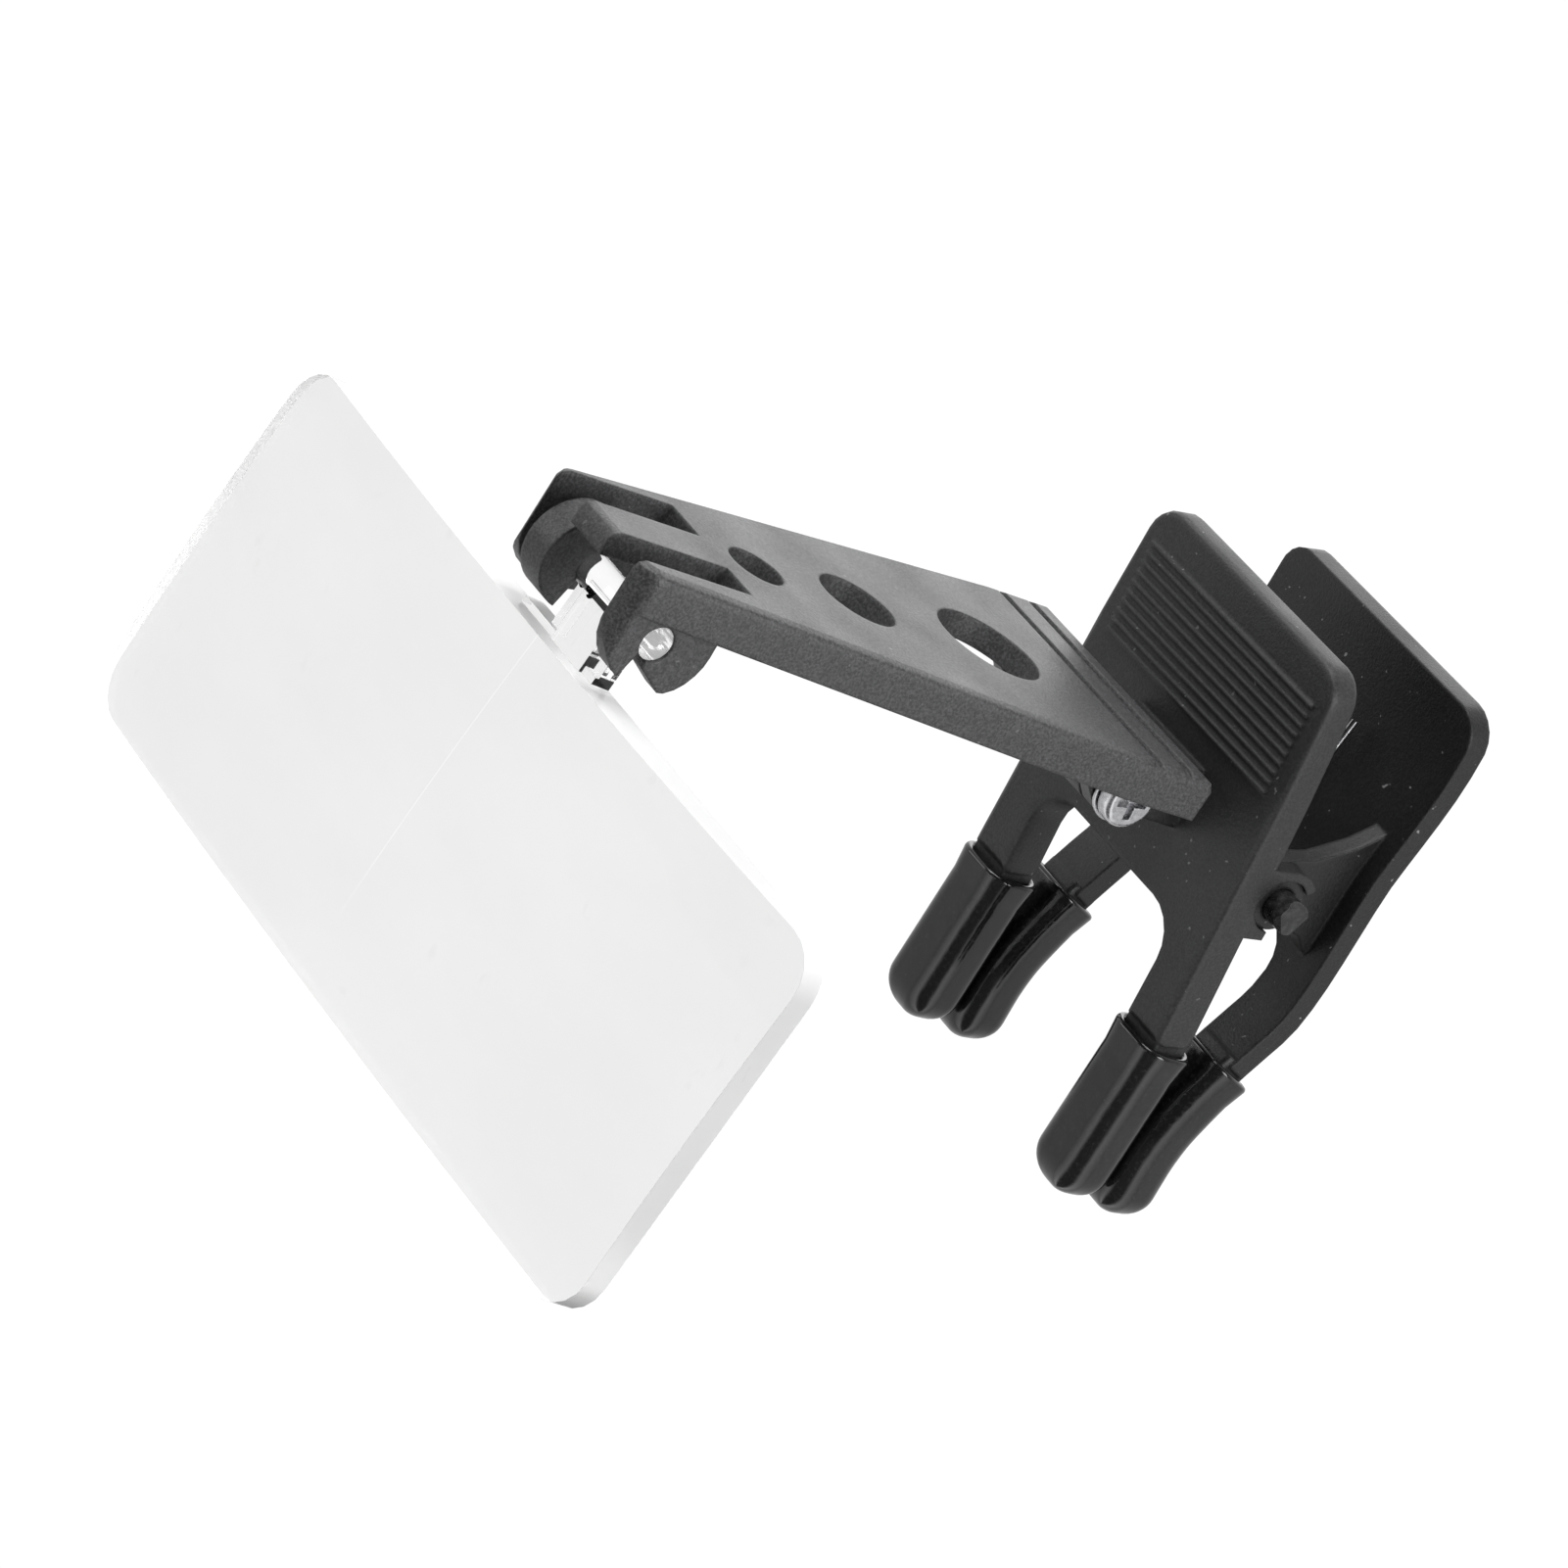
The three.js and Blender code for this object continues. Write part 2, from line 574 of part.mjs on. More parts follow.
// Sleeves
function buildFrontSleeve(side) {
  const shape = {
    curve: frontCurve,
    from: 0,
    to: 1,
    steps: FRONT_SLEEVE_STEPS,
    centreX: side * prongX,
    halfX: SLEEVE_HALF_X,
    halfT: SLEEVE_HALF_T,
    corner: SLEEVE_CORNER_R,
    dome: SLEEVE_DOME,
  };
  const hollow = {
    ...shape,
    steps: 1,
    halfX: SLEEVE_HALF_X - SLEEVE_WALL,
    halfT: SLEEVE_HALF_T - SLEEVE_WALL,
    corner: SLEEVE_CORNER_R - SLEEVE_WALL,
    dome: SLEEVE_DOME - SLEEVE_WALL,
  };
  const mouth = box(
    [side * prongX - hollow.halfX, frontMiddleY - hollow.halfT, FRONT_RIM_Z - EMBED],
    [side * prongX + hollow.halfX, frontMiddleY + hollow.halfT, FRONT_RIM_Z + OVERRUN],
    jawFrame,
  );
  return limb(shape, jawFrame).subtract(limb(hollow, jawFrame)).subtract(mouth);
}

function buildRearSleeve(side) {
  const shape = {
    curve: spineCurve,
    from: rimShare,
    to: 1,
    steps: (spineLast - REAR_RIM_POINT) * REAR_STEPS,
    centreX: side * prongX,
    halfX: SLEEVE_HALF_X,
    halfT: SLEEVE_HALF_T,
    corner: SLEEVE_CORNER_R,
    dome: SLEEVE_DOME,
  };
  const hollow = {
    ...shape,
    from: rimShare - OVERRUN / spineCurve.getLength(),
    halfX: SLEEVE_HALF_X - SLEEVE_WALL,
    halfT: SLEEVE_HALF_T - SLEEVE_WALL,
    corner: SLEEVE_CORNER_R - SLEEVE_WALL,
    dome: SLEEVE_DOME - SLEEVE_WALL,
  };
  return limb(shape).subtract(limb(hollow));
}

// Pivot pin with three flats ground on its near end
function buildPin() {
  let pin = rod(PIN_R, -PIN_HALF_X, PIN_HALF_X, 0, 0);
  const size = 2 * (PIN_R + OVERRUN);
  for (let k = 0; k < PIN_BEVELS; k += 1) {
    const cutter = new THREE.BoxGeometry(size, size, size);
    cutter.translate(0, 0, size / 2).rotateY(PIN_BEVEL_DEG * RADIANS);
    cutter.translate(PIN_HALF_X, 0, PIN_BEVEL_START).rotateX((2 * Math.PI * k) / PIN_BEVELS);
    pin = pin.subtract(solid(cutter));
  }
  return pin;
}

// Middle line of the spring wire, measured from the pivot
function springLine() {
  const lean = JAW_LEAN_DEG * RADIANS;
  const backY = JAW_FACE_Y + jawThickness(FRONT_LEG_RISE) + wireGap;
  const frontTop = new THREE.Vector2(backY - FRONT_LEG_RISE * Math.sin(lean), FRONT_LEG_RISE);
  const leave = (target, sense) => {
    const half = Math.acos(COIL_R / target.length());
    return Math.atan2(target.y, target.x) + sense * half;
  };
  const bend = new THREE.Vector2(...REAR_LEG_BEND);
  const startAngle = leave(frontTop, 1);
  const endAngle = leave(bend, -1) + 2 * Math.PI * (COIL_TURNS + 1);
  const steps = Math.round(((endAngle - startAngle) / (2 * Math.PI)) * CURL_STEPS);
  const points = [new THREE.Vector3(-COIL_HALF_X, frontTop.x, frontTop.y)];
  for (let i = 0; i <= steps; i += 1) {
    const angle = startAngle + ((endAngle - startAngle) * i) / steps;
    const x = -COIL_HALF_X + (2 * COIL_HALF_X * i) / steps;
    points.push(new THREE.Vector3(x, COIL_R * Math.cos(angle), COIL_R * Math.sin(angle)));
  }
  points.push(new THREE.Vector3(COIL_HALF_X, bend.x, bend.y));
  points.push(new THREE.Vector3(COIL_HALF_X, ...REAR_LEG_END));
  return points;
}

// Least free gap between two stretches of the wire that are more than half a turn apart
function leastGap(points, apart) {
  let least = Infinity;
  points.forEach((point, i) => {
    for (let j = i + apart; j < points.length - 1; j += 1) {
      const stretch = new THREE.Line3(points[j], points[j + 1]);
      const nearest = stretch.closestPointToPoint(point, true, new THREE.Vector3());
      least = Math.min(least, nearest.distanceTo(point) - WIRE_D);
    }
  });
  return least;
}

function buildSpring() {
  const points = springLine();
  console.log(`least gap of the spring wire to itself: ${leastGap(points, CURL_STEPS / 2 + 1).toFixed(3)} mm`);
  const rings = [];
  let across = new THREE.Vector3(1, 0, 0);
  points.forEach((point, i) => {
    const before = points[Math.max(i - 1, 0)];
    const after = points[Math.min(i + 1, points.length - 1)];
    const tangent = after.clone().sub(before).normalize();
    across = across.addScaledVector(tangent, -across.dot(tangent)).normalize();
    const other = new THREE.Vector3().crossVectors(across, tangent);
    const ring = arc(0, 0, WIRE_D / 2, 0, FULL_TURN, WIRE_SIDES).slice(0, WIRE_SIDES);
    rings.push(ring.map(([u, v]) => point.clone().addScaledVector(across, u).addScaledVector(other, v)));
    across = across.clone();
  });
  return solid(skin(rings), new THREE.Matrix4().makeTranslation(0, PIVOT_Y, PIVOT_Z));
}

// Arm, built in its own frame
function buildArm() {
  const top = PLATE_TOP;
  const outline = rounded([
    [TIP_HALF, -tipReach, TIP_CORNER_R],
    [BASE_HALF, -TAPER_REACH, 0],
    [BASE_HALF, BASE_REACH, 0],
    [-BASE_HALF, BASE_REACH, 0],
    [-BASE_HALF, -TAPER_REACH, 0],
    [-TIP_HALF, -tipReach, TIP_CORNER_R],
  ]);
  const envelope = prismZ(outline, -PLATE_TOP, top, ARM_EDGE_R);
  const wide = BASE_HALF + OVERRUN;
  const shell = box([-wide, -tipReach - OVERRUN, top - WALL_DEPTH], [wide, BASE_REACH + OVERRUN, top + OVERRUN]);
  const pocket = prismZ([
    [TIP_HALF - WALL_T, -tipReach - OVERRUN],
    [BASE_HALF - WALL_T, -TAPER_REACH],
    [BASE_HALF - WALL_T, BASE_REACH + OVERRUN],
    [-BASE_HALF + WALL_T, BASE_REACH + OVERRUN],
    [-BASE_HALF + WALL_T, -TAPER_REACH],
    [-TIP_HALF + WALL_T, -tipReach - OVERRUN],
  ], -PLATE_TOP, top - PLATE_T, 0);
  const slots = [
    [TONGUE_HALF, TIP_HALF - NEAR_CHEEK_T],
    [-TIP_HALF + FAR_CHEEK_T, -TONGUE_HALF],
  ].map(([startX, endX]) => box(
    [startX, -tipReach - OVERRUN, top - WALL_DEPTH - OVERRUN],
    [endX, -slotReach, top + OVERRUN],
  ));
  let body = shell.subtract(pocket).subtract(union(slots));

  const axleSeat = rod(AXLE_R + RUN_GAP, -wide, wide, -AXLE_REACH, 0);
  const cheek = CHEEK_OUTLINE.map(([y, z]) => [y - AXLE_REACH, z]);
  const drum = rod(DRUM_R, -DRUM_OUTER_X, -TONGUE_HALF + EMBED, DRUM_Y - AXLE_REACH, DRUM_Z);
  const drumMouth = prismX(DRUM_MOUTH.map(([y, z]) => [y - AXLE_REACH, z]), -wide, wide);
  const drumLink = box(
    [-DRUM_OUTER_X, DRUM_Y - AXLE_REACH, DRUM_Z],
    [-TONGUE_HALF + EMBED, DRUM_Y + DRUM_R - AXLE_REACH, top - PLATE_T + EMBED],
  );
  const tongueLift = box(
    [-TONGUE_HALF, -tipReach - OVERRUN, -PLATE_TOP - OVERRUN],
    [0, -slotReach, top - PLATE_T],
  );
  body = body
    .add(prismX(cheek, TIP_HALF - NEAR_CHEEK_T, TIP_HALF))
    .add(prismX(cheek, -TIP_HALF, -TIP_HALF + FAR_CHEEK_T));
  body = body.intersect(envelope);
  body = body.add(drum.add(drumLink).subtract(drumMouth).subtract(tongueLift));
  sides.forEach((side) => {
    const [startX, endX] = [side * lugInnerX, side * lugOuterX].sort((a, b) => a - b);
    body = body.add(prismX([
      [-LUG_FRONT, top - PLATE_T + EMBED],
      [-LUG_FRONT, top - WALL_DEPTH],
      ...arc(0, 0, LUG_R, LUG_START_DEG, FULL_TURN, ROUND_SIDES / 2),
      [BASE_REACH, top - PLATE_T + EMBED],
    ], startX, endX));
  });
  holeReaches.forEach((reach, i) => {
    const hole = arc(0, -reach, ARM_HOLE_RADII[i], 0, FULL_TURN, ROUND_SIDES).slice(0, ROUND_SIDES);
    body = body.subtract(prismZ(hole, 0, top + OVERRUN, 0));
  });
  GROOVE_REACHES.forEach((reach) => {
    body = body.subtract(box(
      [-wide, -reach - GROOVE_WIDTH / 2, top - GROOVE_DEPTH],
      [wide, -reach + GROOVE_WIDTH / 2, top + OVERRUN],
    ));
  });
  const screwHole = rod(SHANK_R + RUN_GAP, -lugOuterX - OVERRUN, lugOuterX + OVERRUN, 0, 0);
  return body.subtract(axleSeat).subtract(screwHole);
}

// Hinge hardware, along X from the middle of the hinge
const washerX = lugOuterX + STACK_GAP;
const seatX = washerX + WASHER_T + STACK_GAP;

function buildScrew() {
  const tailX = -seatX - NUT_T - SCREW_TAIL;
  const headX = seatX + HEAD_T;
  const crown = arc(0, 0, 1, 0, QUARTER_TURN, CORNER_STEPS).map(([across, along]) => [
    HEAD_TOP_R + (HEAD_R - HEAD_TOP_R) * across,
    seatX + HEAD_RIM_T + (HEAD_T - HEAD_RIM_T) * along,
  ]);
  const profile = [
    [0, tailX],
    [SHANK_R - SCREW_TAIL_BEVEL, tailX],
    [SHANK_R, tailX + SCREW_TAIL_BEVEL],
    [SHANK_R, seatX],
    [HEAD_R, seatX],
    ...crown,
    [0, headX],
  ].map(([radius, along]) => new THREE.Vector2(radius, along));
  const body = solid(new THREE.LatheGeometry(profile, ROUND_SIDES).rotateZ(-Math.PI / 2));
  const deep = headX - RECESS_DEPTH;
  const cross = box(
    [deep, -RECESS_LENGTH / 2, -RECESS_WIDTH / 2],
    [headX + OVERRUN, RECESS_LENGTH / 2, RECESS_WIDTH / 2],
  ).add(box(
    [deep, -RECESS_WIDTH / 2, -RECESS_LENGTH / 2],
    [headX + OVERRUN, RECESS_WIDTH / 2, RECESS_LENGTH / 2],
  ));
  return body.subtract(cross);
}

function buildRingPiece(radius, startX, endX, count) {
  const bore = rod(SHANK_R + RUN_GAP, startX - OVERRUN, endX + OVERRUN, 0, 0);
  return rod(radius, startX, endX, 0, 0, undefined, count).subtract(bore);
}

// Lens, built in its own frame
function buildLens() {
  const half = LENS_WIDTH / 2;
  const middleZ = LENS_TOP_Z - LENS_HEIGHT / 2;
  const thickness = (x, z) => {
    const fromLine = (Math.abs(x) - LENS_HALF_CENTRE_X) / (half - LENS_HALF_CENTRE_X);
    const fromMiddle = (z - middleZ) / (LENS_HEIGHT / 2);
    return LENS_EDGE_T + LENS_BULGE_X * (1 - fromLine ** 2) + LENS_BULGE_Z * (1 - fromMiddle ** 2);
  };
  const rings = [];
  for (let i = 0; i <= LENS_COLUMNS; i += 1) {
    const x = -half + (LENS_WIDTH * i) / LENS_COLUMNS;
    const front = [];
    const back = [];
    for (let k = 0; k <= LENS_ROWS; k += 1) {
      const z = LENS_TOP_Z - (LENS_HEIGHT * k) / LENS_ROWS;
      front.push(new THREE.Vector3(x, LENS_BACK_Y - thickness(x, z), z));
      back.push(new THREE.Vector3(x, LENS_BACK_Y, z));
    }
    rings.push([...front.reverse(), ...back]);
  }
  const outline = rounded([
    [half, LENS_TOP_Z, LENS_CORNER_R],
    [half, LENS_TOP_Z - LENS_HEIGHT, LENS_CORNER_R],
    [-half, LENS_TOP_Z - LENS_HEIGHT, LENS_CORNER_R],
    [-half, LENS_TOP_Z, LENS_CORNER_R],
  ]);
  const deepest = LENS_BACK_Y - LENS_EDGE_T - LENS_BULGE_X - LENS_BULGE_Z - OVERRUN;
  const plate = solid(skin(rings)).intersect(prismY(outline, deepest, LENS_BACK_Y + OVERRUN, 0));
  return union([
    plate,
    box([-NECK_HALF, NECK_FRONT_Y, LENS_TOP_Z - EMBED], [NECK_HALF, LENS_BACK_Y, NECK_TOP_Z]),
    box([NECK_FAR_X, LEG_FRONT_Y, LENS_TOP_Z], [NECK_FAR_X + LEG_T, LENS_BACK_Y, 0]),
    box([NECK_NEAR_X - LEG_T, LEG_FRONT_Y, LENS_TOP_Z], [NECK_NEAR_X, LENS_BACK_Y, 0]),
    box([BOSS_FAR_X, BOSS_FRONT_Y, LENS_TOP_Z], [BOSS_NEAR_X, LENS_BACK_Y, 0]),
    rod(AXLE_R, AXLE_FAR_X, AXLE_NEAR_X, 0, 0),
  ]);
}

const blackPlastic = new THREE.MeshStandardMaterial({ name: 'black_plastic', color: 0x1b1b1d, roughness: 0.6 });
const blackVinyl = new THREE.MeshStandardMaterial({ name: 'black_vinyl', color: 0x0b0b0c, roughness: 0.15 });
const clearAcrylic = new THREE.MeshStandardMaterial({
  name: 'clear_acrylic',
  color: 0xeef2f4,
  roughness: 0.05,
  transparent: true,
  opacity: 0.35,
});
const zincSteel = new THREE.MeshStandardMaterial({
  name: 'zinc_steel',
  color: 0xc4c6c8,
  roughness: 0.3,
  metalness: 1,
});

const hingeFrame = new THREE.Matrix4().makeTranslation(0, HINGE_Y, HINGE_Z);
const pinFrame = new THREE.Matrix4().makeTranslation(0, PIVOT_Y, PIVOT_Z);

const part = new THREE.Group();
part.name = 'clip_on_magnifier';
part.add(
  piece('lens', buildLens(), clearAcrylic, lensFrame),
  piece('arm', buildArm(), blackPlastic, armFrame),
  piece('front_jaw', buildFrontJaw(), blackPlastic),
  piece('rear_jaw', buildRearJaw(), blackPlastic),
  piece('pivot_pin', buildPin(), blackPlastic, pinFrame),
  piece('torsion_spring', buildSpring(), zincSteel),
  piece('hinge_screw', buildScrew(), zincSteel, hingeFrame),
  piece('hinge_nut', buildRingPiece(NUT_CORNER_R, -seatX - NUT_T, -seatX, NUT_SIDES), zincSteel, hingeFrame),
  piece(
    'hinge_washer_near',
    buildRingPiece(WASHER_R, washerX, washerX + WASHER_T, ROUND_SIDES),
    zincSteel,
    hingeFrame,
  ),
  piece(
    'hinge_washer_far',
    buildRingPiece(WASHER_R, -washerX - WASHER_T, -washerX, ROUND_SIDES),
    zincSteel,
    hingeFrame,
  ),
  piece('sleeve_front_left', buildFrontSleeve(-1), blackVinyl),
  piece('sleeve_front_right', buildFrontSleeve(1), blackVinyl),
  piece('sleeve_rear_left', buildRearSleeve(-1), blackVinyl),
  piece('sleeve_rear_right', buildRearSleeve(1), blackVinyl),
);

export default part;
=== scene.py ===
"""The clip-on magnifier dressed for its photograph: fine moulded plastic, glossy vinyl sleeves,
a clear lens, zinc-plated hardware and a white studio. Lengths are written in millimetres."""

import math

import bmesh
import bpy
from mathutils import Matrix, Vector


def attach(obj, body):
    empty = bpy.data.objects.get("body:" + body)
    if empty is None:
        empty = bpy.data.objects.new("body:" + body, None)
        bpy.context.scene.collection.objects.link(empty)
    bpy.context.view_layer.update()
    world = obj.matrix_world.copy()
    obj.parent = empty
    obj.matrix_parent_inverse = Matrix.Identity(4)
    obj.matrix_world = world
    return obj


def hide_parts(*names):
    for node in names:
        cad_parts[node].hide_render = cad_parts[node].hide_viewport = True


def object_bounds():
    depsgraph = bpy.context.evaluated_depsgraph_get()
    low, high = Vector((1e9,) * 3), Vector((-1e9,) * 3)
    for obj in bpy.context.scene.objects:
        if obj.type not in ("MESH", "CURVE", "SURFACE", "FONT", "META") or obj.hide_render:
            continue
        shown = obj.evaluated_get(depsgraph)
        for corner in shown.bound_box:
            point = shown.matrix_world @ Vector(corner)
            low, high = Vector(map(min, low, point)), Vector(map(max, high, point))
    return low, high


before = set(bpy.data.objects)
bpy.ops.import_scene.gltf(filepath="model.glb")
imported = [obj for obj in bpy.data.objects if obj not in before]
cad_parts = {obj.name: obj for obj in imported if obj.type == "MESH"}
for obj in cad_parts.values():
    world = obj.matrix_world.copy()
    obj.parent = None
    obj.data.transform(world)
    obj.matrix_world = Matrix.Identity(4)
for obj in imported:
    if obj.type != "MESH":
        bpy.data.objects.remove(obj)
cad_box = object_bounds()

MM = 0.001

# Frames of the part, as in its CAD source
PIVOT = Vector((0, 3.1, 27.8))
HINGE = Vector((0, -12.05, 33))
AXLE_REACH = 52.1
JAW_LEAN = math.radians(-2.1)
ARM_SLOPE = math.radians(-9.9)
LENS_TILT = math.radians(-13.4)

# Pieces taken from the CAD: which points are one, which facets are one flat face and which edges
# are rounded, then the radius and the facets of these edges
WELD_GAP = 0.0005
FLAT_ANGLE = math.radians(0.6)
ROUNDED_ANGLE = math.radians(28)
ARM_EDGE_R = 0.32
JAW_EDGE_R = 0.26
PIN_EDGE_R = 0.1
SCREW_EDGE_R = 0.07
NUT_EDGE_R = 0.1
WASHER_EDGE_R = 0.06
LENS_EDGE_R = 0.8
EDGE_STEPS = 2
LENS_EDGE_STEPS = 4
EDGE_SHEEN_R = 0.45  # how far the sheen of a moulded edge runs on to its faces

# Bends that are sharper than this are shaded as edges
SHARP_ANGLE = math.radians(32)
SLEEVE_SHARP_ANGLE = math.radians(60)
WIRE_SHARP_ANGLE = math.radians(50)

# Textures: how many features they have in a millimetre, and how deep they are
PLASTIC_GRAIN = 4.5
PLASTIC_CLOUDS = 0.12
PLASTIC_SPECKS = 1.7
PLASTIC_DEPTH = 0.05
PLASTIC_UNEVEN = (-0.05, 0.08)  # what the clouds take from the roughness and add to it
VINYL_LUMPS = 0.3
VINYL_DUST = 3.0
VINYL_DEPTH = 0.35
STEEL_GRAIN = 2.2
STEEL_DEPTH = 0.02
PIN_GRAIN = 1.6
LENS_HAZE = 0.045
LENS_MARKS = 0.6

# Lens: reach of the neck below the axle and to each side, and how far a face has to be turned from
# the way the lens looks to be one of its sides
LENS_NECK_END = 2.6
LENS_NECK_HALF = 6.5
LENS_SIDE_TURN = math.radians(60)
LENS_MARK_SHARE = 0.6  # how much of a mark's own colour shows
LENS_MARK_DEPTH = 1.5  # how far marks darken the lens, against how far haze brightens it

# Fine upright line in the middle of the lens, a painted highlight where its two halves meet: how bright
# it is, and over which distances from the middle and which heights it fades
CREASE_HIGHLIGHT_SHARE = 0.4
CREASE_FADE_X = (0.05, 0.1)
CREASE_FADE_Z = (10, 17)

# Sleeves on the prongs, measured from the mouth along their middle line of (y, z) points. The
# front line is straight and lies in the front jaw's own frame.
SLEEVE_X = 12.5
SLEEVE_HALF_X = 3.2
SLEEVE_HALF_T = 2.65
SLEEVE_CORNER_R = 2.0
SLEEVE_WALL = 0.75
SLEEVE_DOME = 2.9
SLEEVE_FLARE = 0.22  # how far the mouth stands out from the rest of the sleeve
SLEEVE_FLARE_END = 2.4
SLEEVE_THROAT = 1.5  # from this depth on the inner wall is straight
SLEEVE_DEPTH = 4.5  # how deep the mouth is modelled
FRONT_RIM = (-3.6, -14.8)
FRONT_LENGTH = 12.6
FRONT_BEND = math.radians(6.5)
REAR_LINE = (
    (8.55, 14.1), (6.85, 11.4), (5.8, 9.3), (4.75, 7.1), (3.85, 4.9), (3.25, 2.4), (3, 0.2), (2.9, -1),
)
CORNER_STEPS = 8
LIP_STEPS = 8
BODY_STEPS = 20
DOME_STEPS = 12
LINE_STEPS = 6

# Torsion spring, measured from the pivot
WIRE_R = 0.325
WIRE_ROUNDNESS = 5
COIL_R = 2.2
COIL_HALF_X = 3.1
COIL_TURNS = 5  # whole turns
COIL_STEPS = 40
SPRING_LAP = 16  # coil steps that the rear leg's piece takes along, half of them shared
FRONT_LEG_TOP = (-1.32, 8.6)
REAR_LEG_BEND = (8.8, 7.7)
REAR_LEG_END = (9.85, 11.6)

# Camera of the photograph, fitted to points on the object. Its lens is measured in pixels.
CAMERA_AT = Vector((368.171, -371.117, 243.986))
CAMERA_RIGHT = Vector((0.47736, 0.78565, 0.39356))
CAMERA_AHEAD = Vector((-0.67971, 0.614, -0.40125))
IMAGE_SIDE = 1601
FOCAL_PIXELS = 7003.7
CENTRE_OFF = (-2.6, -3.8)
SENSOR_WIDTH = 36
CLIP_NEAR = 50
CLIP_FAR = 10000

# Studio. The floor is clear of the lens when the arm is tilted all the way down. Mirrors see a
# dark wedge on it, which points from WEDGE_AT to the camera, with bright rims. The spans are
# cosines: from the plain floor to the rim, from the rim to the dark of the wedge, and from the
# open studio to the dark room behind the camera.
FLOOR_SIDE = 4000
FLOOR_DROP = 48
FLOOR_GREY = 0.08
FLOOR_GLOW = 0.94
FAR_GLOW = 0.65
RIM_GLOW = 1.7
RIM_SPAN = (0.35, 0.78)
WEDGE_AT = (-8, 4, 0)
WEDGE_SHARE = 0.05
WEDGE_SPAN = (0.8, 0.93)
SKY_LEVEL = 0.42
ROOM_LEVEL = 0.08
ROOM_SPAN = (-0.35, 0.6)

# Softboxes: name, place, what they point at, width and height, and watts
SOFTBOXES = (
    ("top_softbox", (-60, -80, 450), (0, -25, 25), (300, 300), 1.6),
    ("side_softbox", (430, 40, 150), (0, -10, 20), (200, 240), 1.4),
    ("back_softbox", (-520, 540, 230), (0, -30, 30), (420, 420), 0.72),
    ("front_left_softbox", (-340, -340, 175), (0, 0, 10), (160, 160), 0.2),
)


def turned(angle, at):
    """Matrix of a frame at a point, turned about X."""
    return Matrix.Translation(at) @ Matrix.Rotation(angle, 4, "X")


JAW_FRAME = turned(JAW_LEAN, PIVOT)
ARM_FRAME = turned(ARM_SLOPE, HINGE)
LENS_FRAME = turned(LENS_TILT, ARM_FRAME @ Vector((0, -AXLE_REACH, 0)))


# Colours
WHITE = (1, 1, 1, 1)
BLUE_SHARE = 1.03  # blue in the greys of plastic, vinyl and steel, against their red and green
DULL_SHARE = 0.7  # brightness of the dull grain of steel, against that of the bright grain
DUST_GREY = 0.32


def neutral(level):
    return (level, level, level, 1)


def grey(level):
    return (level, level, BLUE_SHARE * level, 1)


# Shader nodes
def feed(tree, socket, value):
    """Links an input to another node's output, or sets it to a plain value."""
    if isinstance(value, bpy.types.NodeSocket):
        tree.links.new(value, socket)
    else:
        socket.default_value = value


def add_node(tree, kind, inputs, **settings):
    """New node. Its inputs go by name, or by number where several share a name."""
    node = tree.nodes.new("ShaderNode" + kind)
    for name, setting in settings.items():
        setattr(node, name, setting)
    for key, value in inputs.items():
        feed(tree, node.inputs[key], value)
    return node


def place_of(tree, space="Object"):
    """Where the shaded point is, in the object's own space or in another one."""
    return add_node(tree, "TexCoord", {}).outputs[space]


def math_node(tree, operation, *values, clamp=False):
    """Result of an operation on numbers."""
    node = add_node(tree, "Math", dict(enumerate(values)), operation=operation, use_clamp=clamp)
    return node.outputs["Value"]


def vector_node(tree, operation, *values):
    """Result of an operation on vectors, a number for the dot product."""
    node = add_node(tree, "VectorMath", dict(enumerate(values)), operation=operation)
    return node.outputs["Value" if operation == "DOT_PRODUCT" else "Vector"]


def noise(tree, per_mm, detail, roughness=0.5, stretch=(1, 1, 1)):
    """Noise in the object's own space, with that many features in a millimetre."""
    mapping = add_node(tree, "Mapping", {"Vector": place_of(tree), "Scale": stretch})
    inputs = {
        "Vector": mapping.outputs["Vector"],
        "Scale": per_mm / MM,
        "Detail": detail,
        "Roughness": roughness,
    }
    return add_node(tree, "TexNoise", inputs).outputs["Fac"]


def ramp(tree, value, span, levels=(0, 1)):
    """Value remapped from a span to levels, both ends held."""
    inputs = {"Value": value}
    inputs["From Min"], inputs["From Max"] = span
    inputs["To Min"], inputs["To Max"] = levels
    return add_node(tree, "MapRange", inputs).outputs["Result"]


def mixed(tree, share, first, second):
    """Colour between two colours, each a plain one or another node's output."""
    node = add_node(tree, "Mix", {}, data_type="RGBA")
    inputs = {socket.identifier: socket for socket in node.inputs}
    outputs = {socket.identifier: socket for socket in node.outputs}
    feed(tree, inputs["Factor_Float"], share)
    feed(tree, inputs["A_Color"], first)
    feed(tree, inputs["B_Color"], second)
    return outputs["Result_Color"]


def bump(tree, height, depth, strength, normal=None):
    """Normal of a bumpy surface, on top of another normal if there is one."""
    inputs = {"Height": height, "Distance": depth * MM, "Strength": strength}
    if normal is not None:
        inputs["Normal"] = normal
    return add_node(tree, "Bump", inputs).outputs["Normal"]


def new_material(name):
    """Material and its node tree."""
    material = bpy.data.materials.new(name)
    material.use_nodes = True
    return material, material.node_tree


def feed_shader(tree, inputs):
    """Feeds the surface shader's inputs by name."""
    for key, value in inputs.items():
        feed(tree, tree.nodes["Principled BSDF"].inputs[key], value)


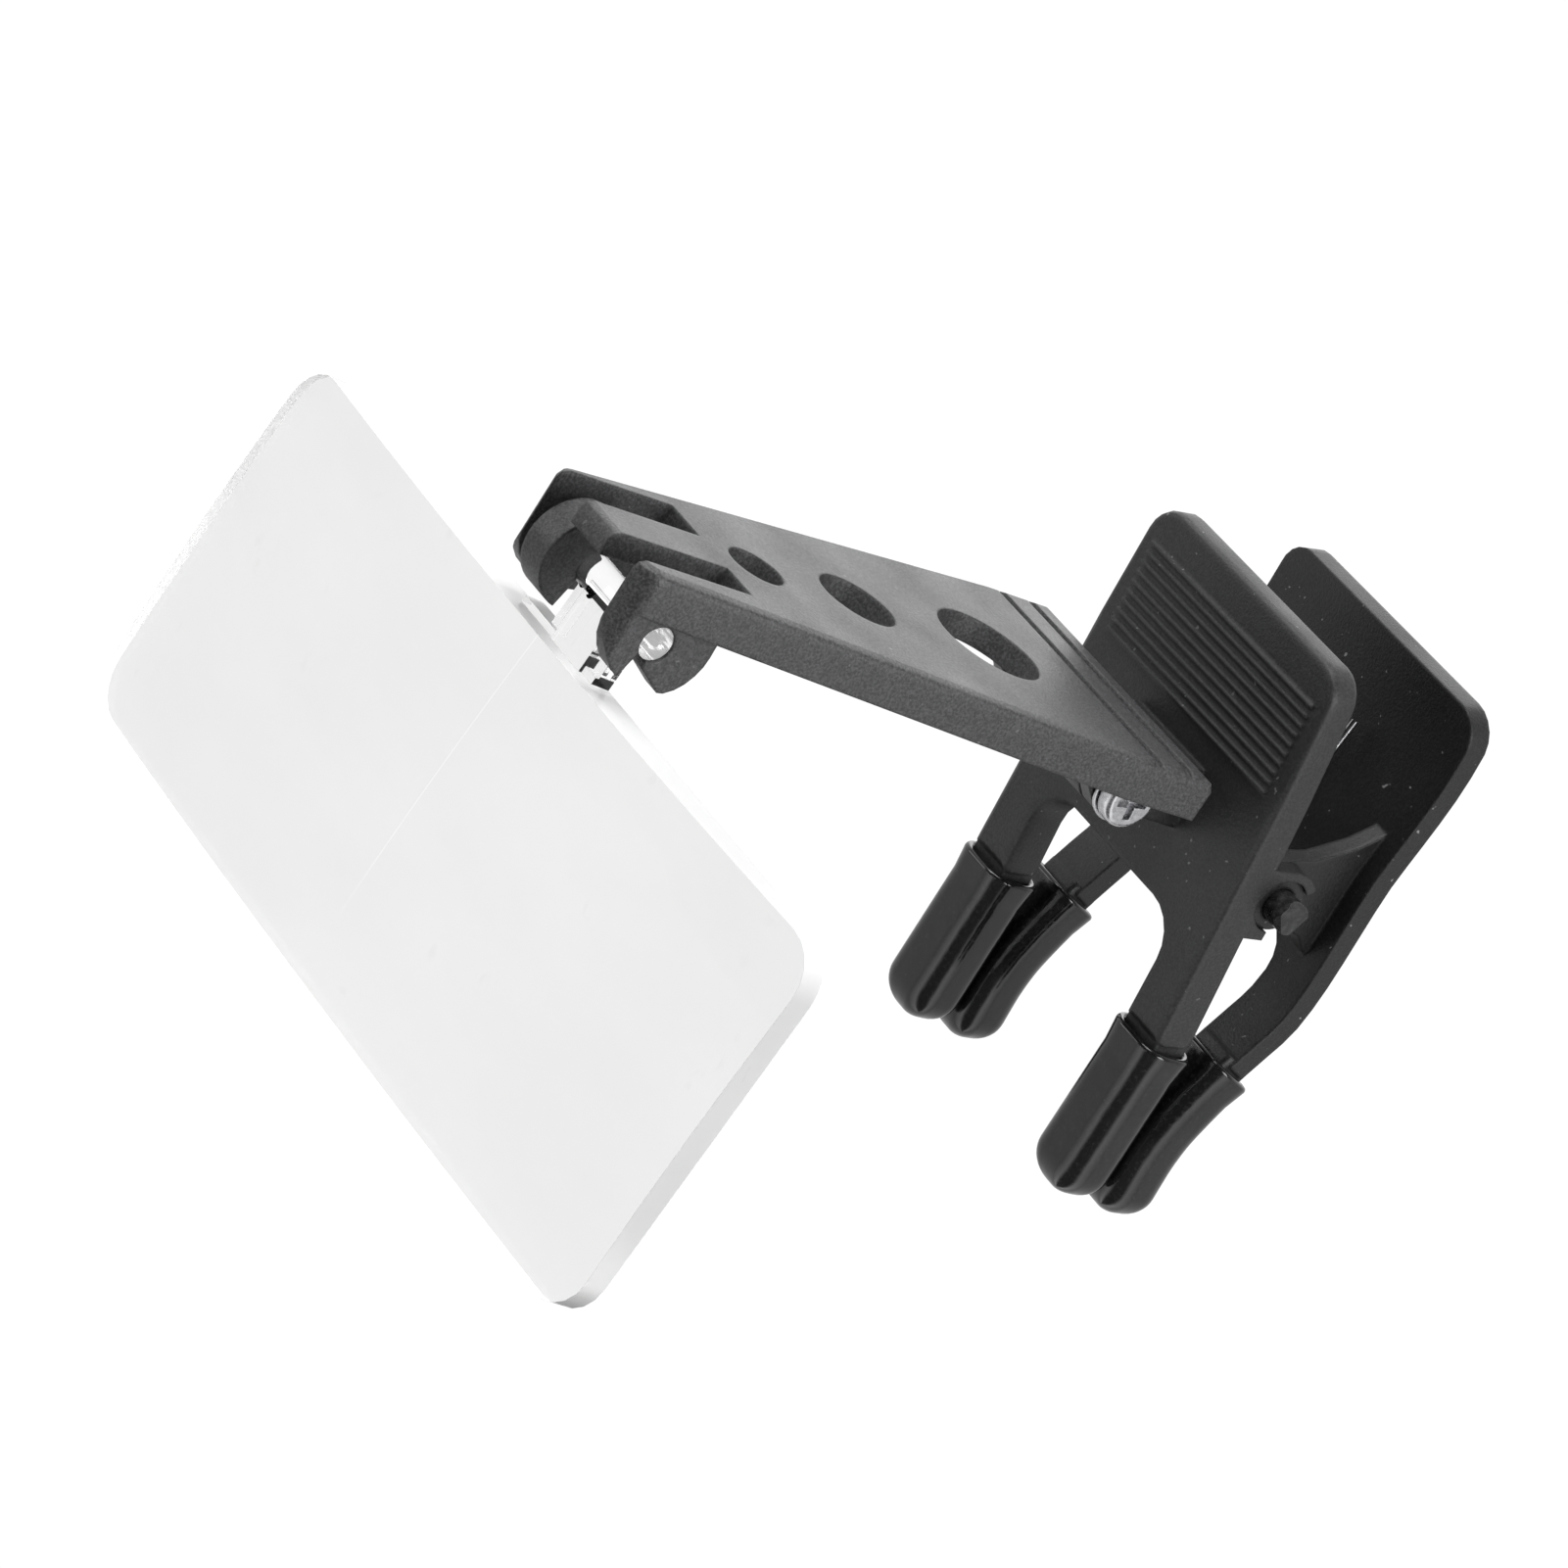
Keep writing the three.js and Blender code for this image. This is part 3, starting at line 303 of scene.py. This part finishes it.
# Materials
def plastic_material(name, dark, light, roughness, dust):
    """Black moulded plastic with a fine speckle, rounded edges and a few specks of dust."""
    material, tree = new_material(name)
    grain = noise(tree, PLASTIC_GRAIN, detail=2, roughness=0.6)
    clouds = noise(tree, PLASTIC_CLOUDS, detail=3)
    specks = ramp(tree, noise(tree, PLASTIC_SPECKS, detail=1), span=(0.75, 0.8), levels=(0, dust))
    speckled = mixed(tree, ramp(tree, grain, span=(0.38, 0.68)), grey(dark), grey(light))
    uneven = [roughness + change for change in PLASTIC_UNEVEN]
    rounded = add_node(tree, "Bevel", {"Radius": EDGE_SHEEN_R * MM}, samples=6)
    feed_shader(tree, {
        "Base Color": mixed(tree, specks, speckled, grey(DUST_GREY)),
        "Roughness": ramp(tree, clouds, span=(0.3, 0.7), levels=uneven),
        "Specular IOR Level": 0.42,
        "Normal": bump(tree, grain, PLASTIC_DEPTH, strength=0.8, normal=rounded.outputs["Normal"]),
    })
    return material


def vinyl_material(name, dark, light):
    """Dipped vinyl: glossy and softly uneven, with fine dust that dulls it in places."""
    material, tree = new_material(name)
    lumps = noise(tree, VINYL_LUMPS, detail=2)
    dust = noise(tree, VINYL_DUST, detail=3, roughness=0.7)
    feed_shader(tree, {
        "Base Color": mixed(tree, ramp(tree, dust, span=(0.5, 0.8)), grey(dark), grey(light)),
        "Roughness": ramp(tree, dust, span=(0.45, 0.75), levels=(0.13, 0.26)),
        "Specular IOR Level": 0.55,
        "Normal": bump(tree, lumps, VINYL_DEPTH, strength=0.25),
    })
    return material


def steel_material(name, level, roughness_levels):
    """Bare metal with a fine grain that dulls it in places."""
    material, tree = new_material(name)
    grain = noise(tree, STEEL_GRAIN, detail=4, roughness=0.6)
    span = (0.35, 0.65)
    feed_shader(tree, {
        "Base Color": mixed(tree, ramp(tree, grain, span), grey(DULL_SHARE * level), grey(level)),
        "Roughness": ramp(tree, grain, span, roughness_levels),
        "Metallic": 1,
        "Normal": bump(tree, grain, STEEL_DEPTH, strength=0.3),
    })
    return material


def blackened_material(name, dark, light):
    """Metal under a glossy dark coat, so it isn't metallic itself."""
    material, tree = new_material(name)
    grain = noise(tree, PIN_GRAIN, detail=4, roughness=0.6)
    span = (0.4, 0.7)
    feed_shader(tree, {
        "Base Color": mixed(tree, ramp(tree, grain, span), grey(dark), grey(light)),
        "Roughness": ramp(tree, grain, span, levels=(0.16, 0.3)),
        "Specular IOR Level": 0.5,
    })
    return material


def painted_crease_highlight(tree):
    """How strong the painted highlight of the fine upright line in the middle of the lens is at each
    point.
    """
    split = add_node(tree, "SeparateXYZ", {"Vector": place_of(tree)})
    beside = math_node(tree, "ABSOLUTE", split.outputs["X"])
    line = ramp(tree, beside, span=[x * MM for x in CREASE_FADE_X], levels=(CREASE_HIGHLIGHT_SHARE, 0))
    fade = ramp(tree, split.outputs["Z"], span=[z * MM for z in CREASE_FADE_Z])
    return math_node(tree, "MULTIPLY", line, fade)


def acrylic_material(name, level, haze_share, clearness=1, roughness=0.02, shine=0.12, creased=False):
    """Clear acrylic with faint haze and faint marks."""
    material, tree = new_material(name)
    clouds = noise(tree, LENS_HAZE, detail=4, roughness=0.55, stretch=(1, 1, 2.4))
    streaks = noise(tree, LENS_MARKS, detail=3, roughness=0.6, stretch=(0.5, 1, 0.3))
    marks = ramp(tree, streaks, span=(0.69, 0.74), levels=(0, LENS_MARK_SHARE))
    hazy = neutral(level * (1 + haze_share))
    marked = neutral(level * (1 - LENS_MARK_DEPTH * haze_share))
    body = mixed(tree, ramp(tree, clouds, span=(0.35, 0.65)), neutral(level), hazy)
    body = mixed(tree, marks, body, marked)
    if creased:
        # White mixed in along the middle: a painted highlight of the crease between the lens halves
        body = mixed(tree, painted_crease_highlight(tree), body, WHITE)
    feed_shader(tree, {
        "Base Color": body,
        "Roughness": roughness,
        "Transmission Weight": clearness,
        "IOR": 1.49,
        "Specular IOR Level": shine,
    })
    return material


# One black plastic in three copies: the jaws' colours are darker than the arm's as painted shade, and the
# rear jaw's darkest, with more specks of dust
PLASTIC = plastic_material("moulded_black_plastic", dark=0.03, light=0.09, roughness=0.42, dust=0.35)
FRONT_JAW_PAINTED_SHADE_PLASTIC = plastic_material("black_plastic_painted_shade", dark=0.018, light=0.036, roughness=0.44, dust=0.5)
REAR_JAW_DUST_AND_PAINTED_SHADE_PLASTIC = plastic_material("dusty_black_plastic_deep_painted_shade", dark=0.008, light=0.018, roughness=0.42, dust=0.8)
VINYL = vinyl_material("dipped_black_vinyl", dark=0.006, light=0.025)
ZINC = steel_material("zinc_plated_steel", level=0.6, roughness_levels=(0.22, 0.36))
SPRING_STEEL = steel_material("bright_spring_wire", level=0.6, roughness_levels=(0.18, 0.28))
PIN_STEEL = blackened_material("blackened_steel", dark=0.015, light=0.05)
LENS_FACE = acrylic_material("clear_acrylic", level=0.76, haze_share=0.035, creased=True)
LENS_BACK = acrylic_material("clear_acrylic_back", level=0.76, haze_share=0.035)
# Edges and sides are lighter than the face: a painted highlight along the lens's rim, besides being less
# clear
LENS_EDGE = acrylic_material(
    "clear_acrylic_edge_painted_highlight", level=0.86, haze_share=0.05, clearness=0.5, roughness=0.1
)
LENS_SIDE = acrylic_material(
    "clear_acrylic_side_painted_highlight", level=0.88, haze_share=0.05, clearness=0.2, roughness=0.3
)
LENS_NECK = acrylic_material("clear_acrylic_neck", level=0.92, haze_share=0.05, shine=0.3)


# Meshes
def finish_mesh(name, bm, materials, body, nodes, sharp_angle=SHARP_ANGLE):
    """Object from a bmesh in millimetres, which rides on a body and stands for CAD nodes."""
    bm.transform(Matrix.Scale(MM, 4))
    bmesh.ops.recalc_face_normals(bm, faces=bm.faces)
    mesh = bpy.data.meshes.new(name)
    bm.to_mesh(mesh)
    bm.free()
    for polygon in mesh.polygons:
        polygon.use_smooth = True
    mesh.set_sharp_from_angle(angle=sharp_angle)
    for material in materials:
        mesh.materials.append(material)
    obj = bpy.data.objects.new(name, mesh)
    bpy.context.scene.collection.objects.link(obj)
    flat = obj.modifiers.new("flat_faces_stay_flat", "WEIGHTED_NORMAL")
    flat.keep_sharp = True
    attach(obj, body)
    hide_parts(*nodes)
    return obj


def bmesh_of(node):
    """The CAD node's mesh in millimetres, welded and with its flat facets joined."""
    bm = bmesh.new()
    bm.from_mesh(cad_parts[node].data)
    bm.transform(Matrix.Scale(1 / MM, 4))
    for face in bm.faces:
        face.material_index = 0
    bmesh.ops.remove_doubles(bm, verts=bm.verts, dist=WELD_GAP)
    bmesh.ops.dissolve_limit(bm, angle_limit=FLAT_ANGLE, verts=bm.verts, edges=bm.edges)
    return bm


def soften(bm, radius, steps=EDGE_STEPS, material=-1):
    """Rounds every sharp edge. The rounding gets that material, or with -1 the one beside it."""
    sharp = [e for e in bm.edges if e.is_manifold and e.calc_face_angle(0) > ROUNDED_ANGLE]
    bmesh.ops.bevel(
        bm,
        geom=sharp,
        offset=radius,
        offset_type="OFFSET",
        segments=steps,
        profile=0.5,
        affect="EDGES",
        clamp_overlap=True,
        material=material,
    )


# Plastic parts, pin, screw, nut and washers, from the CAD with their edges rounded
def build_softened_nodes():
    for node, body, radius, material, slot in (
        ("arm", "arm_body", ARM_EDGE_R, PLASTIC, "black_plastic"),
        # The jaws take the darker copies of the plastic, with painted shade in their colour
        ("front_jaw", "front_jaw_body", JAW_EDGE_R, FRONT_JAW_PAINTED_SHADE_PLASTIC, "black_plastic"),
        ("rear_jaw", "rear_jaw_body", JAW_EDGE_R, REAR_JAW_DUST_AND_PAINTED_SHADE_PLASTIC, "black_plastic"),
        ("pivot_pin", "rear_jaw_body", PIN_EDGE_R, PIN_STEEL, "dark_steel"),
        ("hinge_screw", "arm_body", SCREW_EDGE_R, ZINC, "zinc_steel"),
        ("hinge_nut", "arm_body", NUT_EDGE_R, ZINC, "zinc_steel"),
        ("hinge_washer_near", "arm_body", WASHER_EDGE_R, ZINC, "zinc_steel"),
        ("hinge_washer_far", "arm_body", WASHER_EDGE_R, ZINC, "zinc_steel"),
    ):
        bm = bmesh_of(node)
        soften(bm, radius)
        finish_mesh(node + "_finished", bm, [material], body, [node])


# Lens: a clear face and back, and skins of their own for the rounded edges and the sides, which are
# less clear and carry a painted highlight in their lighter colour, and for the neck
def build_lens():
    skins = [LENS_FACE, LENS_EDGE, LENS_SIDE, LENS_BACK, LENS_NECK]
    front, edge, side, back, neck = range(len(skins))
    bm = bmesh_of("lens")
    soften(bm, LENS_EDGE_R, LENS_EDGE_STEPS, edge)
    to_lens = LENS_FRAME.inverted()
    for face in bm.faces:
        normal = to_lens.to_3x3() @ face.normal
        centre = to_lens @ face.calc_center_median()
        if centre.z > -LENS_NECK_END:
            face.material_index = edge if abs(centre.x) > LENS_NECK_HALF else neck
        elif face.material_index == front and abs(normal.y) < math.cos(LENS_SIDE_TURN):
            face.material_index = side
        elif face.material_index == front and normal.y > 0:
            face.material_index = back
    lens = finish_mesh("lens_polished", bm, skins, "lens_body", ["lens"])
    lens.visible_shadow = False


# Sleeves: one closed skin each, thick at the mouth, domed at the end
def rounded_section(inset):
    """Points across and out of a sleeve's section, all the way round its rounded rectangle."""
    corner = SLEEVE_CORNER_R - inset
    flat_x = SLEEVE_HALF_X - SLEEVE_CORNER_R
    flat_t = SLEEVE_HALF_T - SLEEVE_CORNER_R
    points = []
    for quarter, (side_x, side_t) in enumerate(((1, 1), (-1, 1), (-1, -1), (1, -1))):
        for k in range(CORNER_STEPS + 1):
            angle = (quarter + k / CORNER_STEPS) * math.pi / 2
            across = side_x * flat_x + corner * math.cos(angle)
            out = side_t * flat_t + corner * math.sin(angle)
            points.append((across, out))
    return points


def smooth_line(points):
    """Points along a smooth line through the given ones, from the second to the last."""
    line = [Vector(point) for point in points]
    line.append(2 * line[-1] - line[-2])
    samples = []
    for i in range(1, len(line) - 2):
        p0, p1, p2, p3 = line[i - 1 : i + 3]
        t0 = 0
        t1 = t0 + math.sqrt((p1 - p0).length)
        t2 = t1 + math.sqrt((p2 - p1).length)
        t3 = t2 + math.sqrt((p3 - p2).length)
        for k in range(LINE_STEPS):
            t = t1 + (t2 - t1) * k / LINE_STEPS
            a1 = p0.lerp(p1, (t - t0) / (t1 - t0))
            a2 = p1.lerp(p2, (t - t1) / (t2 - t1))
            a3 = p2.lerp(p3, (t - t2) / (t3 - t2))
            b1 = a1.lerp(a2, (t - t0) / (t2 - t0))
            b2 = a2.lerp(a3, (t - t1) / (t3 - t1))
            samples.append(b1.lerp(b2, (t - t1) / (t2 - t1)))
    samples.append(line[-2])
    return samples


def sleeve_profile(span):
    """Rings of a sleeve from inside its mouth to its dome: distance, inset and scale of each."""
    lip = SLEEVE_WALL / 2
    profile = [(SLEEVE_DEPTH, SLEEVE_WALL, 1), (SLEEVE_THROAT, SLEEVE_WALL, 1)]
    for k in range(LIP_STEPS + 1):
        angle = math.pi * k / LIP_STEPS
        profile.append((lip - lip * math.sin(angle), lip + lip * math.cos(angle) - SLEEVE_FLARE, 1))
    for k in range(BODY_STEPS + 1):
        profile.append((SLEEVE_FLARE_END + (span - SLEEVE_FLARE_END) * k / BODY_STEPS, 0, 1))
    for k in range(1, DOME_STEPS):
        angle = math.pi / 2 * k / DOME_STEPS
        profile.append((span + SLEEVE_DOME * math.sin(angle), 0, math.cos(angle)))
    return profile


def pairs_round(ring):
    """Each vertex of a ring with the next one."""
    return zip(ring, ring[1:] + ring[:1])


def build_sleeve(where, side, body, line, matrix):
    """Sleeve along a line of (y, z) points, which starts in the middle of its mouth."""
    neighbours = zip(line[:1] + line[:-1], line[1:] + line[-1:])
    directions = [(after - before).normalized() for before, after in neighbours]
    lengths = [0]
    for start, end in zip(line, line[1:]):
        lengths.append(lengths[-1] + (end - start).length)
    span = lengths[-1]
    bm = bmesh.new()

    def station(distance):
        """Centre and direction at a distance from the mouth; past the end, straight on."""
        if distance >= span:
            return line[-1] + directions[-1] * (distance - span), directions[-1]
        i = max(k for k, length in enumerate(lengths) if length <= distance)
        share = (distance - lengths[i]) / (lengths[i + 1] - lengths[i])
        ahead = directions[i].lerp(directions[i + 1], share).normalized()
        return line[i].lerp(line[i + 1], share), ahead

    def vertex(distance, across, out):
        """Vertex at that distance, moved across and out from the middle of the sleeve."""
        centre, ahead = station(distance)
        place = centre + out * ahead.orthogonal()
        return bm.verts.new((side * SLEEVE_X + across, *place))

    rings = [
        [vertex(distance, scale * across, scale * out) for across, out in rounded_section(inset)]
        for distance, inset, scale in sleeve_profile(span)
    ]
    for ring, following in zip(rings, rings[1:]):
        for (a, b), (d, c) in zip(pairs_round(ring), pairs_round(following)):
            bm.faces.new((a, b, c, d))
    bm.faces.new(rings[0])
    tip = vertex(span + SLEEVE_DOME, 0, 0)
    for a, b in pairs_round(rings[-1]):
        bm.faces.new((a, b, tip))
    bm.transform(matrix)
    nodes = [f"sleeve_{where}"]
    finish_mesh(f"vinyl_{where}", bm, [VINYL], body, nodes, SLEEVE_SHARP_ANGLE)


def build_sleeves():
    rim = Vector(FRONT_RIM)
    front_line = [rim, rim - FRONT_LENGTH * Vector((math.sin(FRONT_BEND), math.cos(FRONT_BEND)))]
    rear_line = smooth_line(REAR_LINE)
    for side, end in ((-1, "left"), (1, "right")):
        build_sleeve(f"front_{end}", side, "front_jaw_body", front_line, JAW_FRAME)
        build_sleeve(f"rear_{end}", side, "rear_jaw_body", rear_line, Matrix.Identity(4))


# Spring: a round wire on its own winding. Its rear leg is a piece of its own, which turns with
# the rear jaw round the coil and overlaps the coil's last turn.
def build_wire(name, points, body, nodes):
    """Wire through points that are measured from the pivot."""
    curve = bpy.data.curves.new(name, "CURVE")
    curve.dimensions = "3D"
    curve.bevel_depth = WIRE_R * MM
    curve.bevel_resolution = WIRE_ROUNDNESS
    curve.use_fill_caps = True
    spline = curve.splines.new("POLY")
    spline.points.add(len(points) - 1)
    for point, place in zip(spline.points, points):
        point.co = (*((Vector(place) + PIVOT) * MM), 1)
    wire = bpy.data.objects.new(name, curve)
    bm = bmesh.new()
    bm.from_mesh(bpy.data.meshes.new_from_object(wire))
    bm.transform(Matrix.Scale(1 / MM, 4))
    bmesh.ops.remove_doubles(bm, verts=bm.verts, dist=WELD_GAP)
    bpy.data.objects.remove(wire)
    finish_mesh(name, bm, [SPRING_STEEL], body, nodes, WIRE_SHARP_ANGLE)


def coil_leave(target, sense):
    """Angle at which the coil lets go of a leg that ends at the target."""
    return math.atan2(target[1], target[0]) + sense * math.acos(COIL_R / math.hypot(*target))


def build_spring():
    start = coil_leave(FRONT_LEG_TOP, 1)
    end = coil_leave(REAR_LEG_BEND, -1) + 2 * math.pi * (COIL_TURNS + 1)
    steps = round((end - start) / (2 * math.pi) * COIL_STEPS)
    coil = []
    for i in range(steps + 1):
        angle = start + (end - start) * i / steps
        x = COIL_HALF_X * (2 * i / steps - 1)
        coil.append((x, COIL_R * math.cos(angle), COIL_R * math.sin(angle)))
    front_leg = [(-COIL_HALF_X, *FRONT_LEG_TOP)]
    rear_leg = [(COIL_HALF_X, *REAR_LEG_BEND), (COIL_HALF_X, *REAR_LEG_END)]
    build_wire("spring_wire", front_leg + coil[: -SPRING_LAP // 2], "front_jaw_body", ["torsion_spring"])
    build_wire("spring_wire_rear_leg", coil[-SPRING_LAP:] + rear_leg, "rear_jaw_body", [])


# Studio: white floor and surroundings, with the dark room behind the camera
def seen_by(tree, *rays):
    """One for these kinds of ray, zero for all others."""
    path = add_node(tree, "LightPath", {}).outputs
    total = path[rays[0]]
    for ray in rays[1:]:
        total = math_node(tree, "MAXIMUM", total, path[ray])
    return total


def floor_material(name):
    """White to look at. Mirrors see the wedge and its rims, and plain lighting sees no glow."""
    material, tree = new_material(name)
    apart = vector_node(tree, "SUBTRACT", place_of(tree), Vector(WEDGE_AT) * MM)
    to_camera = Vector((-CAMERA_AHEAD.x, -CAMERA_AHEAD.y, 0)).normalized()
    cosine = vector_node(tree, "DOT_PRODUCT", vector_node(tree, "NORMALIZE", apart), to_camera)
    rim = ramp(tree, cosine, RIM_SPAN, (FAR_GLOW, RIM_GLOW))
    dark = ramp(tree, cosine, WEDGE_SPAN, (1, WEDGE_SHARE))
    wedge = math_node(tree, "MULTIPLY", rim, dark)
    mirrored = math_node(tree, "MULTIPLY", seen_by(tree, "Is Glossy Ray"), wedge)
    looked_at = seen_by(tree, "Is Camera Ray", "Is Transmission Ray")
    shown = math_node(tree, "MULTIPLY", looked_at, FLOOR_GLOW)
    feed_shader(tree, {
        "Base Color": neutral(FLOOR_GREY),
        "Roughness": 0.9,
        "Specular IOR Level": 0,
        "Emission Color": WHITE,
        "Emission Strength": math_node(tree, "MAXIMUM", shown, mirrored),
    })
    return material


def build_floor():
    level = cad_box[0].z - FLOOR_DROP * MM
    bpy.ops.mesh.primitive_plane_add(size=FLOOR_SIDE * MM, location=(0, 0, level))
    floor = bpy.context.object
    floor.name = "studio_floor"
    floor.data.materials.append(floor_material("studio_white"))


def build_world():
    """White to look at, also through clear pieces, and darker for plain lighting. Mirrors see the
    dark room in it."""
    world = bpy.data.worlds.new("studio")
    bpy.context.scene.world = world
    world.use_nodes = True
    tree = world.node_tree
    facing = vector_node(tree, "DOT_PRODUCT", place_of(tree, "Generated"), -CAMERA_AHEAD)
    room = ramp(tree, facing, ROOM_SPAN, (1, ROOM_LEVEL))
    mirrored = math_node(tree, "MULTIPLY", seen_by(tree, "Is Glossy Ray"), room)
    path = add_node(tree, "LightPath", {}).outputs
    white = math_node(tree, "MAXIMUM", path["Is Camera Ray"], path["Transmission Depth"], clamp=True)
    shown = math_node(tree, "MAXIMUM", white, mirrored)
    looked_at = seen_by(tree, "Is Camera Ray", "Is Glossy Ray", "Is Transmission Ray")
    sky = ramp(tree, looked_at, (0, 1), (SKY_LEVEL, 0))
    background = tree.nodes["Background"].inputs
    feed(tree, background["Color"], WHITE)
    feed(tree, background["Strength"], math_node(tree, "ADD", shown, sky))


def build_softbox(name, place, aim, size, watts):
    light = bpy.data.lights.new(name, "AREA")
    light.shape = "RECTANGLE"
    light.size = size[0] * MM
    light.size_y = size[1] * MM
    light.energy = watts
    lamp = bpy.data.objects.new(name, light)
    lamp.location = Vector(place) * MM
    lamp.rotation_mode = "QUATERNION"
    lamp.rotation_quaternion = (Vector(aim) - Vector(place)).to_track_quat("-Z", "Y")
    bpy.context.scene.collection.objects.link(lamp)


def build_camera():
    camera_data = bpy.data.cameras.new("photo_camera")
    camera_data.sensor_width = SENSOR_WIDTH
    camera_data.lens = FOCAL_PIXELS / IMAGE_SIDE * SENSOR_WIDTH
    camera_data.shift_x = CENTRE_OFF[0] / IMAGE_SIDE
    camera_data.shift_y = CENTRE_OFF[1] / IMAGE_SIDE
    camera_data.clip_start = CLIP_NEAR * MM
    camera_data.clip_end = CLIP_FAR * MM
    camera = bpy.data.objects.new("photo_camera", camera_data)
    ahead = CAMERA_AHEAD.normalized()
    right = (CAMERA_RIGHT - ahead * CAMERA_RIGHT.dot(ahead)).normalized()
    axes = Matrix((right, right.cross(ahead), -ahead)).transposed()
    camera.matrix_world = Matrix.Translation(CAMERA_AT * MM) @ axes.to_4x4()
    bpy.context.scene.collection.objects.link(camera)
    bpy.context.scene.camera = camera


build_softened_nodes()
build_lens()
build_sleeves()
build_spring()
build_floor()
build_world()
for softbox in SOFTBOXES:
    build_softbox(*softbox)
build_camera()
bpy.context.scene.view_settings.view_transform = "Standard"
